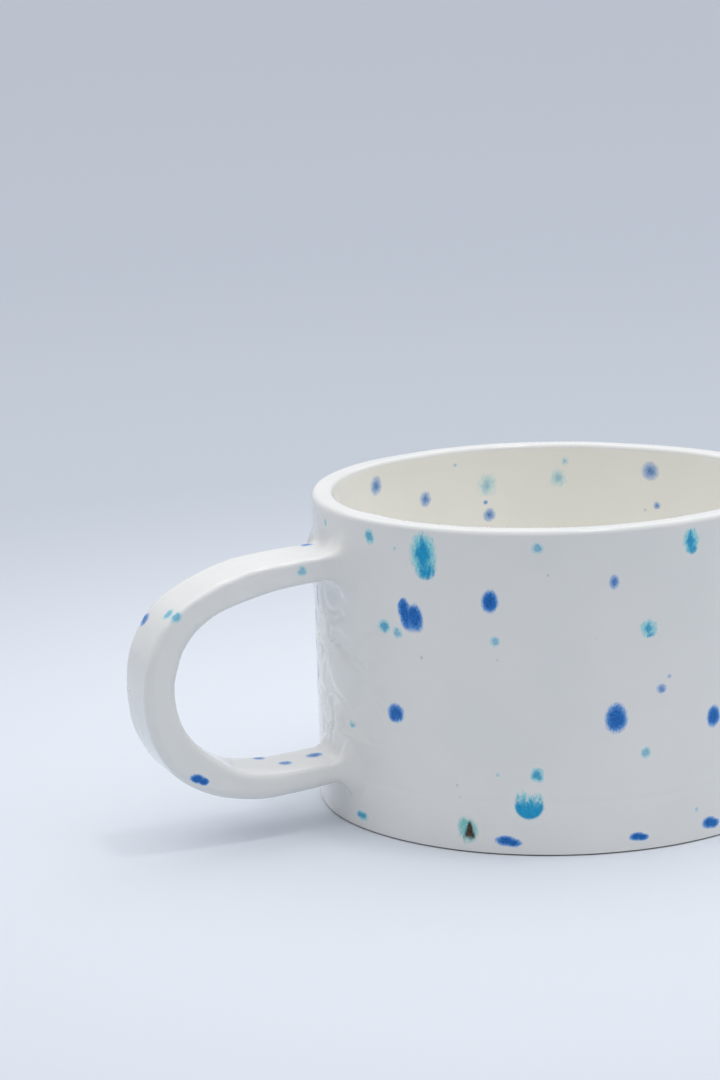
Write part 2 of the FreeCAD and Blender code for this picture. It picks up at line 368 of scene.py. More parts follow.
def sampled(field, axes, step, stride=4):
    """The field on a grid. Far from the surface only every few points are worked out."""
    rough_axes = [axis[::stride] for axis in axes]
    rough = np.stack(np.meshgrid(*rough_axes, indexing="ij"), -1)
    values = field(rough.reshape(-1, 3)).reshape(rough.shape[:3])
    for axis, places in enumerate(axes):
        nearest = np.minimum((np.arange(len(places)) + stride // 2) // stride, len(rough_axes[axis]) - 1)
        values = values.take(nearest, axis)
    close = np.argwhere(np.abs(values) < (stride + 1) * step)
    points = np.stack([places[close[:, axis]] for axis, places in enumerate(axes)], -1)
    values[tuple(close.T)] = field(points)
    return values


def surface_net(field, low, high, step):
    """Quads around the field's zero surface: one point in each cell that it crosses."""
    axes = [np.arange(l, h + step, step) for l, h in zip(low, high)]
    shape = tuple(len(axis) for axis in axes)
    values = sampled(field, axes, step)
    inside = values < 0
    corners = list(itertools.product((0, 1), repeat=3))
    cells = tuple(n - 1 for n in shape)
    count = np.zeros(cells, int)
    for corner in corners:
        count += inside[tuple(slice(c, c + n) for c, n in zip(corner, cells))]
    crossed = (count > 0) & (count < 8)
    index = np.full(cells, -1)
    index[crossed] = np.arange(crossed.sum())
    at = np.argwhere(crossed)
    total = np.zeros((len(at), 3))
    hits = np.zeros(len(at))
    for first in corners:
        for axis in range(3):
            if first[axis]:
                continue
            second = list(first)
            second[axis] = 1
            a = values[tuple((at + first).T)]
            b = values[tuple((at + second).T)]
            cut = (a < 0) != (b < 0)
            share = np.where(cut, a / np.where(cut, a - b, 1), 0)
            place = np.array(first, float)[None] + share[:, None] * np.eye(3)[axis]
            total += place * cut[:, None]
            hits += cut
    points = np.array(low) + (at + total / hits[:, None]) * step
    quads = []
    for axis in range(3):
        one, two = (axis + 1) % 3, (axis + 2) % 3
        a = inside.take(range(shape[axis] - 1), axis)
        b = inside.take(range(1, shape[axis]), axis)
        edge = np.argwhere(a != b)
        edge = edge[(edge[:, one] > 0) & (edge[:, two] > 0)]
        edge = edge[(edge[:, one] < cells[one]) & (edge[:, two] < cells[two])]
        ring = []
        for back_one, back_two in ((1, 1), (0, 1), (0, 0), (1, 0)):
            cell = edge.copy()
            cell[:, one] -= back_one
            cell[:, two] -= back_two
            ring.append(index[tuple(cell.T)])
        ring = np.stack(ring, -1)
        leaves = a[tuple(edge.T)]
        quads.append(np.where(leaves[:, None], ring, ring[:, ::-1]))
    return points, np.vstack(quads)


def border_edges(quads):
    """Directed edges that only one face has."""
    starts = quads.reshape(-1)
    ends = np.roll(quads, -1, 1).reshape(-1)
    size = quads.max() + 1
    forward = starts * size + ends
    backward = ends * size + starts
    alone = ~np.isin(forward, backward)
    return starts[alone], ends[alone]


def relax(points, quads, held, share=0.5):
    """Moves each point part of the way to the middle of its neighbours."""
    total = np.zeros_like(points)
    count = np.zeros(len(points))
    for side in range(4):
        for other in (1, 3):
            here = quads[:, side]
            there = quads[:, (side + other) % 4]
            np.add.at(total, here, points[there])
            np.add.at(count, here, 1)
    moved = points + share * (total / np.maximum(count, 1)[:, None] - points)
    return np.where(held[:, None], points, moved)


def part_of(points, quads, keep):
    """The faces whose points are all kept, renumbered."""
    quads = quads[keep[quads].all(1)]
    used = np.unique(quads)
    number = np.full(len(points), -1)
    number[used] = np.arange(len(used))
    return points[used], number[quads]


def new_object(name, points, faces, normals=None):
    """Object from points in millimetres. The normals, if given, shade it as the exact surface."""
    mesh = bpy.data.meshes.new(name)
    mesh.from_pydata((points * MM).tolist(), [], [list(face) for face in faces])
    mesh.validate()
    mesh.shade_smooth()
    if normals is not None:
        mesh.normals_split_custom_set_from_vertices(normals.tolist())
    made = bpy.data.objects.new(name, mesh)
    bpy.context.scene.collection.objects.link(made)
    return made


def closed_skin(name, points, quads, normals, thickness, bead_steps=4):
    """Closed layer of this thickness under the surface, with a rounded bead along its borders."""
    count = len(points)
    under = points - normals * thickness
    starts, ends = border_edges(quads)
    after = dict(zip(starts.tolist(), ends.tolist()))
    border = np.array(sorted(after))
    slot = {point: place for place, point in enumerate(border.tolist())}
    before = {end: start for start, end in after.items()}
    forward = points[[after[b] for b in border.tolist()]] - points[[before[b] for b in border.tolist()]]
    outward = np.cross(forward, normals[border])
    outward /= np.linalg.norm(outward, axis=1)[:, None]
    all_points, all_normals = [points, under], [normals, -normals]
    rows = [border]
    for step in range(1, bead_steps):
        angle = math.pi * step / bead_steps
        way = normals[border] * math.cos(angle) + outward * math.sin(angle)
        middle = points[border] - normals[border] * thickness / 2
        rows.append(2 * count + (step - 1) * len(border) + np.arange(len(border)))
        all_points.append(middle + way * thickness / 2)
        all_normals.append(way)
    rows.append(border + count)
    faces = [quads, quads[:, ::-1] + count]
    here = np.array([slot[s] for s in starts.tolist()])
    there = np.array([slot[e] for e in ends.tolist()])
    for upper, lower in zip(rows, rows[1:]):
        faces.append(np.stack([upper[there], upper[here], lower[here], lower[there]], -1))
    return new_object(name, np.vstack(all_points), np.vstack(faces), np.vstack(all_normals))


def glazed_net():
    """Points and quads of the whole glazed surface, settled and evened out.

    One level of the grid's cell middles lies on the foot line, so the border there is even. The margins
    are unequal, so that no grid plane is a plane of symmetry of the mug.
    """
    step = SPACING
    foot = FOOT_LINE - FOOT_RUN
    levels_below = math.ceil((foot + 4) / step)
    low = np.array([strap_low[0] - 2.3, -OUTER - 2.1, foot - (levels_below + 0.5) * step])
    high = np.array([OUTER + 2.2, OUTER + 2.3, HEIGHT + 2.5])
    points, quads = surface_net(lambda p: glaze_distance(p, plain=True), low, high, step)
    keep = points[:, 2] > foot - 0.05
    points, quads = part_of(points, quads, keep)
    held = np.zeros(len(points), bool)
    held[np.concatenate(border_edges(quads))] = True
    for _ in range(3):
        points = settle(points, glaze_distance, rounds=1, held=held)
        points = relax(points, quads, held)
    return settle(points, glaze_distance, rounds=3, held=held), quads


def glaze_pieces():
    """Points and quads of the outer coat, then of the liner. They overlap inside the rim."""
    points, quads = glazed_net()
    in_bore = np.hypot(points[:, 0], points[:, 1]) < (OUTER + BORE) / 2
    coat = part_of(points, quads, ~(in_bore & (below_rim(points) > COAT_LAP)))
    liner = part_of(points, quads, in_bore & (below_rim(points) > LINER_TOP))
    return coat + liner


def sink(points, normals, amount):
    """Points moved under the surface, each by its own amount."""
    return points - normals * amount[:, None]


def lap(points):
    """How far the glaze has changed over from the outer coat to the liner, below the rim."""
    return np.clip((below_rim(points) - 0.3) / 1.4, 0, 1)


def outer_coat(points, quads):
    """Glaze outside and over the rim. Its lap inside sinks gently under the liner."""
    normals = normals_of(points, glaze_distance)
    in_bore = np.hypot(points[:, 0], points[:, 1]) < (OUTER + BORE) / 2
    depth = np.where(in_bore, LAP_DEPTH * lap(points), 0)
    made = closed_skin("outer_coat", sink(points, normals, depth), quads, normals, COAT_SKIN - 0.08)
    corners = np.array([vertex.co for vertex in made.data.vertices]) / MM
    thin = made.data.attributes.new("thin", "FLOAT", "POINT")
    thin.data.foreach_set("value", smear_of(corners).astype(np.float32))
    return made


def liner_coat(points, quads):
    """Glaze inside. Its upper edge sinks gently under the outer coat."""
    normals = normals_of(points, glaze_distance)
    depth = LAP_DEPTH * (1 - lap(points))
    return closed_skin("liner_coat", sink(points, normals, depth), quads, normals, LINER_SKIN - 0.06)


# ---------------------------------------------------------------- coloured spots

def islands(node):
    """Corner points of each separate solid of a CAD node, in millimetres."""
    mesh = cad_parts[node].data
    corners = np.array([v.co for v in mesh.vertices]) / MM
    whole, number = np.unique(np.round(corners * 1000).astype(int), axis=0, return_inverse=True)
    number = number.reshape(-1)
    label = np.arange(len(whole))
    pairs = number[np.array([e.vertices[:] for e in mesh.edges])]
    while True:
        lowest = np.minimum(label[pairs[:, 0]], label[pairs[:, 1]])
        new = label.copy()
        np.minimum.at(new, pairs[:, 0], lowest)
        np.minimum.at(new, pairs[:, 1], lowest)
        new = new[new]
        if (new == label).all():
            break
        label = new
    return [whole[label == one] / 1000 for one in np.unique(label)]


def spot_frames(node):
    """Centre, side and up direction, half width and half height of each spot, on the surface."""
    spots = []
    for corners in islands(node):
        middle = (corners.min(0) + corners.max(0)) / 2
        centre = settle(middle[None], glaze_distance, rounds=8)
        out = normals_of(centre, glaze_distance)[0]
        reference = np.array([0, 0, 1.0]) if abs(out[2]) < 0.8 else np.array([-1.0, 0, 0])
        up = reference - out * (reference @ out)
        up /= np.linalg.norm(up)
        side = np.cross(up, out)
        wide = np.ptp(corners @ side) / 2 * SIDE_BLEED
        tall = np.ptp(corners @ up) / 2
        spots.append((centre[0], side, up, wide, tall))
    return spots


def turn_of(point):
    """Angle around the mug's axis, in degrees. The handle is at 180."""
    return math.degrees(math.atan2(point[1], point[0]))


def lobes(s, t, parts):
    """Distance from the nearest of a few ovals: 1 on their edge. Each: place, half sizes, slant."""
    nearest = np.full(s.shape, 9.0)
    for ds, dt, ws, wt, slant in parts:
        c, q = math.cos(slant), math.sin(slant)
        a, b = s - ds, t - dt
        nearest = np.minimum(nearest, np.hypot((a * c + b * q) / ws, (b * c - a * q) / wt))
    return nearest


def drop(s, t, rng):
    """A plain drop with a slightly uneven outline."""
    slant = rng.uniform(-0.3, 0.3)
    parts = [(0, 0, 1.04, 1.04, slant)]
    for _ in range(3):
        angle = rng.uniform(0, 2 * math.pi)
        reach = rng.uniform(0.25, 0.45)
        parts.append((math.cos(angle) * reach, math.sin(angle) * reach, 0.72, 0.74, slant))
    edge = lobes(s, t, parts)
    return edge, edge * 1.25


def slanted(s, t, rng):
    """A narrow drop that leans: upper right to lower left."""
    edge = lobes(s, t, [(0, 0, 0.95, 1.06, -0.35), (0.1, -0.1, 0.92, 0.86, -0.3)])
    return edge, edge * 1.2


def falling(s, t, rng):
    """A torn drop that slopes down to the right."""
    edge = lobes(s, t, [(-0.25, 0.12, 0.95, 0.6, -0.3), (0.5, -0.32, 0.7, 0.5, -0.3)])
    return edge, edge * 1.15


def lying(s, t, rng):
    """A drop near the foot: flat below, with one thick end."""
    edge = lobes(s, t, [(-0.15, 0.05, 0.8, 0.85, 0.15), (0.35, -0.2, 0.68, 0.7, 0.2)])
    return edge, edge * 1.3


def two_lobes(s, t, rng):
    """Two leaning lobes that join in a ragged foot, the left one higher, the right one darker."""
    edge = lobes(s, t, [(-0.56, 0.38, 0.53, 0.74, 0.2), (-0.34, -0.2, 0.55, 0.8, 0.25),
                        (0.44, -0.1, 0.56, 0.88, 0.18), (0.16, -0.5, 0.8, 0.62, 0)])
    edge = np.maximum(edge, -t / 0.98)
    core = lobes(s, t, [(0.28, -0.05, 0.5, 0.62, 0.3), (-0.48, 0.15, 0.32, 0.85, 0.25)])
    return edge, core * 0.8


def feathered(s, t, rng):
    """A ragged pale halo with a dark upright core and a darker blob at its lower right."""
    edge = lobes(s, t, [(0, 0.15, 1.08, 1.0, 0), (0.1, -0.5, 0.88, 0.55, 0)])
    diamond = np.abs(s + 0.04) / 0.8 + np.abs(t - 0.1) / 1.15
    blob = 0.45 + np.hypot((s - 0.22) / 0.85, (t + 0.7) / 0.5) * 0.5
    return edge, np.minimum(diamond, blob)


def bowl(s, t, rng):
    """Round and dark at the bottom, and feathered at the top."""
    edge = lobes(s, t, [(0, -0.1, 0.84, 0.88, 0), (-0.54, 0.36, 0.28, 0.66, 0), (0.52, 0.26, 0.3, 0.58, 0)])
    edge = np.maximum(edge, 0.7 + 0.45 * t)
    return edge, 0.62 + 0.7 * (t + 0.1)


def bell(s, t, rng):
    """A narrow-shouldered speck, with its halo mostly to the upper left."""
    shoulder = np.maximum(0.56 - 0.42 * t, 0.12)
    core = np.maximum(np.abs(s) / shoulder, np.abs(t) / 0.95)
    edge = lobes(s, t, [(-0.8, 0.35, 0.95, 0.8, 0), (-0.2, -0.1, 1.3, 1.15, 0)])
    return edge, core * 0.85


LENS_RINGS, LENS_SECTORS = 12, 36

# Spots with a shape of their own: node, turn and height, then the shape and how strong its colour is
SHAPES = [
    ("cobalt_spots", -150, 50, two_lobes, 1.0), ("cobalt_spots", -77, 27, slanted, 1.0),
    ("cobalt_spots", -102, 29, slanted, 1.0), ("cobalt_spots", -130, 54, slanted, 1.0),
    ("cobalt_spots", -127, 3, lying, 1.0), ("cobalt_spots", -97, 3, lying, 1.0),
    ("cobalt_spots", -78, 3.5, lying, 1.0), ("turquoise_spots", -146, 63, feathered, 1.0),
    ("turquoise_spots", -122, 11, bowl, 1.0), ("turquoise_spots", -83, 65, feathered, 0.9),
    ("turquoise_spots", -120, 18, drop, 0.8), ("turquoise_spots", -94, 48, feathered, 0.8),
    ("iron_spot", -136, 5, bell, 1.0), ("cobalt_spots", -175, 15.4, falling, 1.0),
]


def shape_for(node, centre):
    """Shape, strength of the colour and crispness of the edge."""
    in_bore = math.hypot(centre[0], centre[1]) < (OUTER + BORE) / 2
    if in_bore:
        return slanted, 0.42 if node == "turquoise_spots" else 0.68, 0.5
    for owner, turn, level, shape, strength in SHAPES:
        if owner == node and abs(turn_of(centre) - turn) < 2.5 and abs(centre[2] - level) < 2.5:
            return shape, strength, 0.5 if shape is bell else 1.0
    return drop, None, 1.0


def lens_faces():
    """Faces of one half of a lens: a fan in the middle, then rings of quads."""
    faces = []
    for k in range(LENS_SECTORS):
        following = (k + 1) % LENS_SECTORS
        faces.append((0, 1 + k, 1 + following))
        for ring in range(LENS_RINGS - 1):
            first = 1 + ring * LENS_SECTORS
            after = first + LENS_SECTORS
            faces.append((first + k, after + k, after + following, first + following))
    return faces


def closed_lens(start, count, faces):
    """Upper half, turned lower half and the band between them, numbered from start."""
    made = [tuple(start + v for v in face) for face in faces]
    made += [tuple(start + count + v for v in reversed(face)) for face in faces]
    for k in range(LENS_SECTORS):
        a = start + count - LENS_SECTORS + k
        b = start + count - LENS_SECTORS + (k + 1) % LENS_SECTORS
        made.append((b, a, a + count, b + count))
    return made


def pattern_of(node, spot, s, t, rng):
    """Edge, core and strength of the colour at each point of a spot's lens."""
    centre, _, _, wide, tall = spot
    shape, strength, crispness = shape_for(node, centre)
    edge, core = shape(s, t, rng)
    edge = 1 + (edge - 1) * crispness - 0.1 * (1 - crispness)
    chance = rng.uniform(0.85, 1.0)
    if strength is None:
        size_share = min(1.0, max(wide, tall) / 1.9)
        strength = chance * (size_share if node == "cobalt_spots" else 0.8 * size_share)
    if strength < 0.85:
        core = 1 + (core * 1.25 - 1) * crispness
    return np.stack([edge, core, np.full(len(s), strength)], -1)


def spot_piece(node, name, reach, seed):
    """All spots of one kind, as thin lenses of glaze that lie in the coat and stand barely proud."""
    rng = np.random.default_rng(seed)
    shares = np.linspace(1 / LENS_RINGS, 1, LENS_RINGS).repeat(LENS_SECTORS)
    angles = np.tile(np.arange(LENS_SECTORS) * 2 * math.pi / LENS_SECTORS, LENS_RINGS)
    shares, angles = np.append(0.0, shares), np.append(0.0, angles)
    s = shares * np.cos(angles) * reach
    t = shares * np.sin(angles) * reach
    lift = SPOT_LIFT - 0.1 * smooth_step(shares, 0.86, 1.0)
    depth = np.where(shares < 0.99, SPOT_DEPTH, 0.06)
    faces = lens_faces()
    points, normals, patterns, all_faces = [], [], [], []
    for spot in spot_frames(node):
        centre, side, up, wide, tall = spot
        flat = centre + np.outer(s * wide, side) + np.outer(t * tall, up)
        surface = settle(flat, glaze_distance, rounds=5)
        out = normals_of(surface, glaze_distance)
        all_faces += closed_lens(len(points) * len(s), len(s), faces)
        points += [surface + out * lift[:, None], surface - out * depth[:, None]]
        normals += [out, -out]
        patterns += [pattern_of(node, spot, s, t, rng)] * 2
    made = new_object(name, np.vstack(points), all_faces, np.vstack(normals))
    pattern = made.data.attributes.new("blot", "FLOAT_VECTOR", "POINT")
    pattern.data.foreach_set("vector", np.vstack(patterns).astype(np.float32).reshape(-1))
    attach(made, "root")
    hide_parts(node)
    return made


# ---------------------------------------------------------------- materials

class Nodes:
    """Short ways to add and join shader nodes."""

    def __init__(self, name):
        self.material = bpy.data.materials.new(name)
        self.material.use_nodes = True
        self.tree = self.material.node_tree
        self.shader = self.tree.nodes["Principled BSDF"]
        self.place = self.add("ShaderNodeTexCoord").outputs["Object"]

    def add(self, kind, **settings):
        node = self.tree.nodes.new(kind)
        for key, value in settings.items():
            setattr(node, key, value)
        return node

    def feed(self, socket, value):
        if isinstance(value, bpy.types.NodeSocket):
            self.tree.links.new(value, socket)
        else:
            socket.default_value = value

    def noise(self, scale, detail=2.0, roughness=0.5, stretch=(1, 1, 1), offset=(0, 0, 0)):
        mapping = self.add("ShaderNodeMapping")
        self.feed(mapping.inputs["Vector"], self.place)
        mapping.inputs["Scale"].default_value = stretch
        mapping.inputs["Location"].default_value = offset
        node = self.add("ShaderNodeTexNoise")
        self.feed(node.inputs["Vector"], mapping.outputs["Vector"])
        node.inputs["Scale"].default_value = scale
        node.inputs["Detail"].default_value = detail
        node.inputs["Roughness"].default_value = roughness
        return node.outputs["Fac"]

    def specks(self, scale, size, offset=(0, 0, 0)):
        """1 in small scattered dots, 0 elsewhere."""
        mapping = self.add("ShaderNodeMapping")
        self.feed(mapping.inputs["Vector"], self.place)
        mapping.inputs["Location"].default_value = offset
        node = self.add("ShaderNodeTexVoronoi", feature="F1")
        self.feed(node.inputs["Vector"], mapping.outputs["Vector"])
        node.inputs["Scale"].default_value = scale
        return self.ramp(node.outputs["Distance"], size, 0.3 * size)

    def from_axis(self):
        """Distance from the mug's axis, in metres."""
        apart = self.add("ShaderNodeSeparateXYZ")
        self.feed(apart.inputs[0], self.place)
        flat = self.add("ShaderNodeCombineXYZ")
        self.feed(flat.inputs[0], apart.outputs[0])
        self.feed(flat.inputs[1], apart.outputs[1])
        length = self.add("ShaderNodeVectorMath", operation="LENGTH")
        self.feed(length.inputs[0], flat.outputs[0])
        return length.outputs["Value"]

    def math(self, operation, a, b=0.0):
        node = self.add("ShaderNodeMath", operation=operation)
        self.feed(node.inputs[0], a)
        self.feed(node.inputs[1], b)
        return node.outputs[0]

    def ramp(self, value, start, end, low=0.0, high=1.0):
        node = self.add("ShaderNodeMapRange", interpolation_type="SMOOTHSTEP")
        self.feed(node.inputs["Value"], value)
        for key, number in (("From Min", start), ("From Max", end), ("To Min", low), ("To Max", high)):
            node.inputs[key].default_value = number
        if start > end:
            node.inputs["From Min"].default_value = end
            node.inputs["From Max"].default_value = start
            node.inputs["To Min"].default_value = high
            node.inputs["To Max"].default_value = low
        return node.outputs["Result"]

    def mix(self, factor, a, b):
        node = self.add("ShaderNodeMix", data_type="RGBA")
        self.feed(node.inputs["Factor"], factor)
        self.feed(node.inputs[6], a)
        self.feed(node.inputs[7], b)
        return node.outputs[2]

    def bump(self, height, distance, strength=1.0, under=None):
        node = self.add("ShaderNodeBump")
        self.feed(node.inputs["Height"], height)
        node.inputs["Distance"].default_value = distance
        node.inputs["Strength"].default_value = strength
        if under is not None:
            self.feed(node.inputs["Normal"], under)
        return node.outputs["Normal"]

    def finish(self, color, roughness, normal):
        self.feed(self.shader.inputs["Base Color"], color)
        self.feed(self.shader.inputs["Roughness"], roughness)
        self.feed(self.shader.inputs["Normal"], normal)
        return self.material


def rgb(red, green, blue):
    """Colour from its everyday 0 to 255 values."""
    def linear(value):
        share = value / 255
        return share / 12.92 if share <= 0.04045 else ((share + 0.055) / 1.055) ** 2.4
    return (linear(red), linear(green), linear(blue), 1.0)


def white_glaze(nodes, bright, dim, speck):
    """Colour of the glaze: a faint drift from thick to thin, and a few tiny grey specks."""
    drift = nodes.ramp(nodes.noise(28, 3, 0.55), 0.35, 0.7)
    color = nodes.mix(drift, bright, dim)
    fine = nodes.specks(300, 0.16)
    rare = nodes.ramp(nodes.noise(110, 1, 0.5, offset=(3, 5, 1)), 0.66, 0.72)
    return nodes.mix(nodes.math("MULTIPLY", nodes.math("MULTIPLY", fine, rare), 0.4), color, speck)


def glaze_surface(nodes):
    """Roughness and bump of a glossy glaze: orange peel, fine pinholes."""
    peel = nodes.noise(260, 2, 0.5)
    broad = nodes.noise(70, 2, 0.5, offset=(7, 2, 4))
    pinholes = nodes.specks(520, 0.10, offset=(2, 8, 5))
    roughness = nodes.ramp(nodes.noise(90, 3, 0.6, offset=(1, 6, 2)), 0.3, 0.75, 0.10, 0.2)
    normal = nodes.bump(broad, 0.00018, 0.6)
    normal = nodes.bump(peel, 0.00004, 0.5, under=normal)
    normal = nodes.bump(nodes.math("SUBTRACT", 1.0, pinholes), 0.00004, 0.4, under=normal)
    return roughness, normal


COAT_BRIGHT = rgb(237, 237, 235)
COAT_DIM = rgb(232, 233, 232)
# Partly the liner's own cream glaze, partly painted light: it is whiter than the coat to stand in for the
# light that fills the inside of the mug
LINER_BRIGHT = rgb(249, 248, 243)
LINER_DIM = rgb(246, 245, 239)
SPECK = rgb(140, 140, 138)
THIN_GLAZE = rgb(222, 212, 194)               # the clay shows through where the glaze is thin


def coat_material():
    nodes = Nodes("outer_glaze")
    color = white_glaze(nodes, COAT_BRIGHT, COAT_DIM, SPECK)
    thin = nodes.add("ShaderNodeAttribute", attribute_name="thin").outputs["Fac"]
    color = nodes.mix(nodes.math("MULTIPLY", thin, 0.7), color, THIN_GLAZE)
    return nodes.finish(color, *glaze_surface(nodes))


def liner_material():
    nodes = Nodes("liner_glaze")
    # the liner's white carries painted light for the inside of the mug
    color = white_glaze(nodes, LINER_BRIGHT, LINER_DIM, SPECK)
    return nodes.finish(color, *glaze_surface(nodes))


# Material, CAD node, piece, reach of its lenses, seed, colours (halo, core, deep), softness, grain
COLORED_GLAZES = [
    ("cobalt_glaze", "cobalt_spots", "cobalt_drops", 1.35, 5,
     (rgb(44, 142, 222), rgb(0, 116, 202), rgb(0, 80, 162)), 0.45, 2300),
    ("turquoise_glaze", "turquoise_spots", "turquoise_drops", 1.6, 6,
     (rgb(98, 212, 226), rgb(0, 166, 214), rgb(0, 140, 196)), 0.9, 1500),
    ("iron_glaze", "iron_spot", "iron_speck", 2.2, 7,
     (rgb(104, 200, 196), rgb(84, 58, 44), rgb(44, 28, 20)), 0.5, 1800),
]


def blot_material(name, colors, soft, grain):
    """A drop of colour melted into the white: dark in the middle, with a ragged fading edge."""
    halo, core, deep = colors
    nodes = Nodes(name)
    nodes.shader.inputs["Specular IOR Level"].default_value = 0.35
    blot = nodes.add("ShaderNodeSeparateXYZ")
    read = nodes.add("ShaderNodeAttribute", attribute_name="blot")
    nodes.feed(blot.inputs[0], read.outputs["Vector"])
    edge, middle, strength = blot.outputs
    in_bore = nodes.ramp(nodes.from_axis(), (BORE + 0.8) * MM, (BORE + 1.6) * MM, 1.0, 0.0)
    outer_white = white_glaze(nodes, COAT_BRIGHT, COAT_DIM, SPECK)
    # the liner's white carries painted light for the inside of the mug
    inner_white = white_glaze(nodes, LINER_BRIGHT, LINER_DIM, SPECK)
    white = nodes.mix(in_bore, outer_white, inner_white)
    streaks = nodes.noise(grain, 3, 0.7, stretch=(1, 1, 0.42))
    ragged = nodes.math("MULTIPLY", nodes.math("SUBTRACT", streaks, 0.5), 1.1 * soft)
    mottled = nodes.noise(2200, 3, 0.7, offset=(4, 4, 4))
    halo_share = nodes.ramp(nodes.math("ADD", edge, ragged), 1.18, 0.78 - 0.1 * soft)
    thin = nodes.ramp(mottled, 0.3, 0.62, 1.0 - 0.6 * soft, 1.0)
    halo_share = nodes.math("MULTIPLY", nodes.math("MULTIPLY", halo_share, thin), strength)
    shifted = nodes.math("ADD", middle, ragged)
    core_share = nodes.math("MULTIPLY", nodes.ramp(shifted, 1.12, 0.5), strength)
    core_share = nodes.math("MULTIPLY", core_share, nodes.ramp(edge, 1.15, 0.95))
    dark = nodes.mix(nodes.ramp(mottled, 0.38, 0.66), core, deep)
    color = nodes.mix(halo_share, white, halo)
    color = nodes.mix(core_share, color, dark)
    return nodes.finish(color, *glaze_surface(nodes))


def stoneware_material(name, light, dark):
    """Bare fired clay: sandy, with dark grog and a dragged, slightly torn surface."""
    nodes = Nodes(name)
    tone = nodes.ramp(nodes.noise(60, 5, 0.6), 0.3, 0.7)
    color = nodes.mix(tone, light, dark)
    grog = nodes.specks(900, 0.3, offset=(5, 1, 3))
    color = nodes.mix(nodes.math("MULTIPLY", grog, 0.5), color, rgb(92, 74, 58))
    sand = nodes.noise(1600, 4, 0.7)
    normal = nodes.bump(nodes.noise(180, 4, 0.6), 0.0003, 0.6)
    normal = nodes.bump(sand, 0.00008, 0.8, under=normal)
    roughness = nodes.ramp(sand, 0.2, 0.8, 0.72, 0.92)
    return nodes.finish(color, roughness, normal)


# ---------------------------------------------------------------- pieces

def use(piece, material):
    """Gives a piece its one material."""
    piece.data.materials.clear()
    piece.data.materials.append(material)
    return piece


# Rings of the base: shares of its radius, and for the bevel how far in and how high
UNDERSIDE = (0.23, 0.46, 0.65, 0.8, 0.9, 0.95)
BEVEL = ((1.3, 0.02), (0.7, 0.12), (0.3, 0.35), (0.05, 0.75), (0.0, 1.6))
UPPER_SIDE = (1.0, 0.88, 0.57, 0.27)


def foot_slab():
    """The unglazed base: a sponged disc with an uneven bevel, standing in the coat."""
    turns = 180
    rows = [(CLAY_RADIUS * share, 0.0) for share in UNDERSIDE]
    rows += [(CLAY_RADIUS - inset, level) for inset, level in BEVEL]
    rows += [(CLAY_RADIUS * share, CLAY_FLOOR) for share in UPPER_SIDE]
    points = [(0, 0, 0.0)]
    for radius, level in rows:
        for k in range(turns):
            turn = 2 * math.pi * k / turns
            points.append((radius * math.cos(turn), radius * math.sin(turn), level))
    points.append((0, 0, CLAY_FLOOR))
    points = np.array(points)
    wander = noise(points * np.array([1, 1, 0]), 7, 51)
    from_axis = np.hypot(points[:, 0], points[:, 1])
    on_edge = smooth_step(from_axis, CLAY_RADIUS - 2, CLAY_RADIUS - 0.5) * (points[:, 2] < 2)
    points[:, :2] *= (1 - 0.0022 * on_edge * (1 + wander))[:, None]
    points[:, 2] += 0.08 * on_edge * (1 + wander) * (points[:, 2] < 1)
    faces = []
    last = len(rows) - 1
    for k in range(turns):
        n = (k + 1) % turns
        faces.append((0, 1 + n, 1 + k))
        for row in range(last):
            a, b = 1 + row * turns, 1 + (row + 1) * turns
            faces.append((a + k, a + n, b + n, b + k))
        top = 1 + last * turns
        faces.append((top + k, top + n, len(points) - 1))
    made = new_object("foot_slab", points, faces)
    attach(made, "root")
    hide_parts("base_slab")
    return made


def build_mug():
    """All glaze pieces, the base, and the materials of the clay that comes from the CAD."""
    coat_points, coat_quads, liner_points, liner_quads = glaze_pieces()
    coat = outer_coat(coat_points, coat_quads)
    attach(coat, "root")
    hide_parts("outer_glaze", "handle_glaze")
    use(coat, coat_material())
    liner = liner_coat(liner_points, liner_quads)
    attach(liner, "root")
    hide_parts("liner_glaze")
    use(liner, liner_material())
    for glaze, node, name, reach, seed, colors, soft, grain in COLORED_GLAZES:
        use(spot_piece(node, name, reach, seed), blot_material(glaze, colors, soft, grain))
    clay = stoneware_material("stoneware", rgb(196, 178, 150), rgb(176, 156, 128))
    joining = stoneware_material("joining_clay", rgb(190, 172, 146), rgb(168, 148, 122))
    use(foot_slab(), clay)
    for node in ("wall_slab", "handle_strap"):
        use(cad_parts[node], clay)
    for node in ("wall_seam", "base_joint_coil", "upper_joint_coil", "lower_joint_coil"):
        use(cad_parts[node], joining)


# ---------------------------------------------------------------- studio

def floor_material():
    """Pale blue-white paper, with a painted pool of light: brighter near the mug, darker farther out."""
    nodes = Nodes("studio_floor")
    away = nodes.from_axis()
    # painted light: these two ramps darken the paper away from the mug, standing in for the light falling off
    near = nodes.ramp(away, 0.0, 0.42)
    color = nodes.mix(near, rgb(226, 231, 239), rgb(185, 192, 202))
    color = nodes.mix(nodes.ramp(away, 0.35, 1.1), color, rgb(178, 185, 196))
    grain = nodes.noise(900, 2)
    return nodes.finish(color, 0.9, nodes.bump(grain, 0.00001, 0.3))


def floor_disc():
    """Flat disc with rings that widen outward."""
    reach, rings, spokes = 20.0, 24, 48
    points = [(0.0, 0.0, 0.0)]
    faces = []
    for ring in range(1, rings + 1):
        radius = reach * (ring / rings) ** 3
        for k in range(spokes):
            turn = 2 * math.pi * k / spokes
            points.append((radius * math.cos(turn), radius * math.sin(turn), 0.0))
    for k in range(spokes):
        n = (k + 1) % spokes
        faces.append((0, 1 + k, 1 + n))
        for ring in range(rings - 1):
            a, b = 1 + ring * spokes, 1 + (ring + 1) * spokes
            faces.append((a + k, b + k, b + n, a + n))
    floor = new_object("studio_floor", np.array(points) / MM, faces)
    floor.data.materials.append(floor_material())


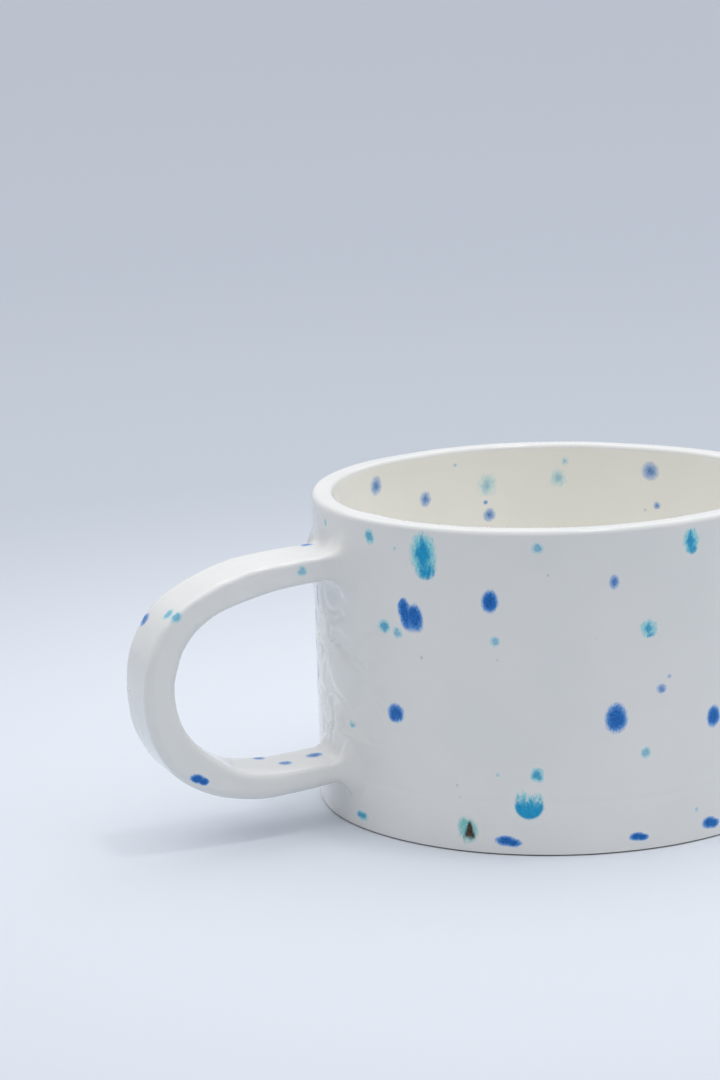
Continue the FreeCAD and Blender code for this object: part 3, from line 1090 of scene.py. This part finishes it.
def light_from(name, kind, heading, height, distance, color, **settings):
    """Light that shines at the mug from a compass heading and a height, both in degrees."""
    light = bpy.data.lights.new(name, kind)
    light.color = color
    for key, value in settings.items():
        setattr(light, key, value)
    turn, lift = math.radians(heading), math.radians(height)
    way = Vector((math.cos(turn) * math.cos(lift), math.sin(turn) * math.cos(lift), math.sin(lift)))
    made = bpy.data.objects.new(name, light)
    made.location = way * distance
    made.rotation_euler = way.to_track_quat("Z", "Y").to_euler()
    bpy.context.scene.collection.objects.link(made)


# The surround is brightest toward one compass heading, beyond the mug
BRIGHT_HEADING = math.radians(64)
DIM_SIDE, BRIGHT_SIDE = 0.12, 0.76
SOFTBOX_SIDE = 0.3


def studio():
    """Pale floor with a painted pool of light around the mug, broad soft light from above and a little from
    the right, and a pale surround.
    """
    floor_disc()
    world = bpy.data.worlds.new("studio")
    bpy.context.scene.world = world
    world.use_nodes = True
    tree = world.node_tree
    surround = tree.nodes["Background"]
    surround.inputs["Color"].default_value = (0.95, 0.98, 1.03, 1.0)
    toward = tree.nodes.new("ShaderNodeVectorMath")
    toward.operation = "DOT_PRODUCT"
    toward.inputs[1].default_value = (math.cos(BRIGHT_HEADING), math.sin(BRIGHT_HEADING), 0.0)
    tree.links.new(tree.nodes.new("ShaderNodeTexCoord").outputs["Generated"], toward.inputs[0])
    strength = tree.nodes.new("ShaderNodeMapRange")
    for key, number in (("From Min", -1.0), ("From Max", 1.0), ("To Min", DIM_SIDE), ("To Max", BRIGHT_SIDE)):
        strength.inputs[key].default_value = number
    tree.links.new(toward.outputs["Value"], strength.inputs["Value"])
    tree.links.new(strength.outputs["Result"], surround.inputs["Strength"])
    light_from("sky", "SUN", -40, 86, 3.0, (1.0, 1.0, 1.0), energy=1.92, angle=math.radians(120))
    light_from(
        "softbox", "AREA", -26, 80, 2.4, (1.0, 1.0, 1.0),
        energy=5.2, shape="RECTANGLE", size=SOFTBOX_SIDE, size_y=SOFTBOX_SIDE,
    )


LENS_PER_HEIGHT = 73 / 27                     # focal length in heights of the picture


def camera():
    """Camera at the photograph's angle. Distances are in outer radii of the mug."""
    radius = OUTER * MM
    heading = math.radians(-22)
    pitch = math.radians(-11.85)
    roll = math.radians(-1.85)
    place = Vector((-0.804, -12.0, 3.608)) * radius
    turned = Matrix.Rotation(heading, 4, "Z")
    data = bpy.data.cameras.new("camera")
    data.sensor_width = 36
    data.lens = 36 * LENS_PER_HEIGHT
    made = bpy.data.objects.new("camera", data)
    look = Matrix.Rotation(math.pi / 2 + pitch, 4, "X") @ Matrix.Rotation(roll, 4, "Z")
    made.matrix_world = turned @ Matrix.Translation(place) @ look
    bpy.context.scene.collection.objects.link(made)
    bpy.context.scene.camera = made


bpy.context.scene.view_settings.view_transform = "Standard"
camera()
studio()
build_mug()
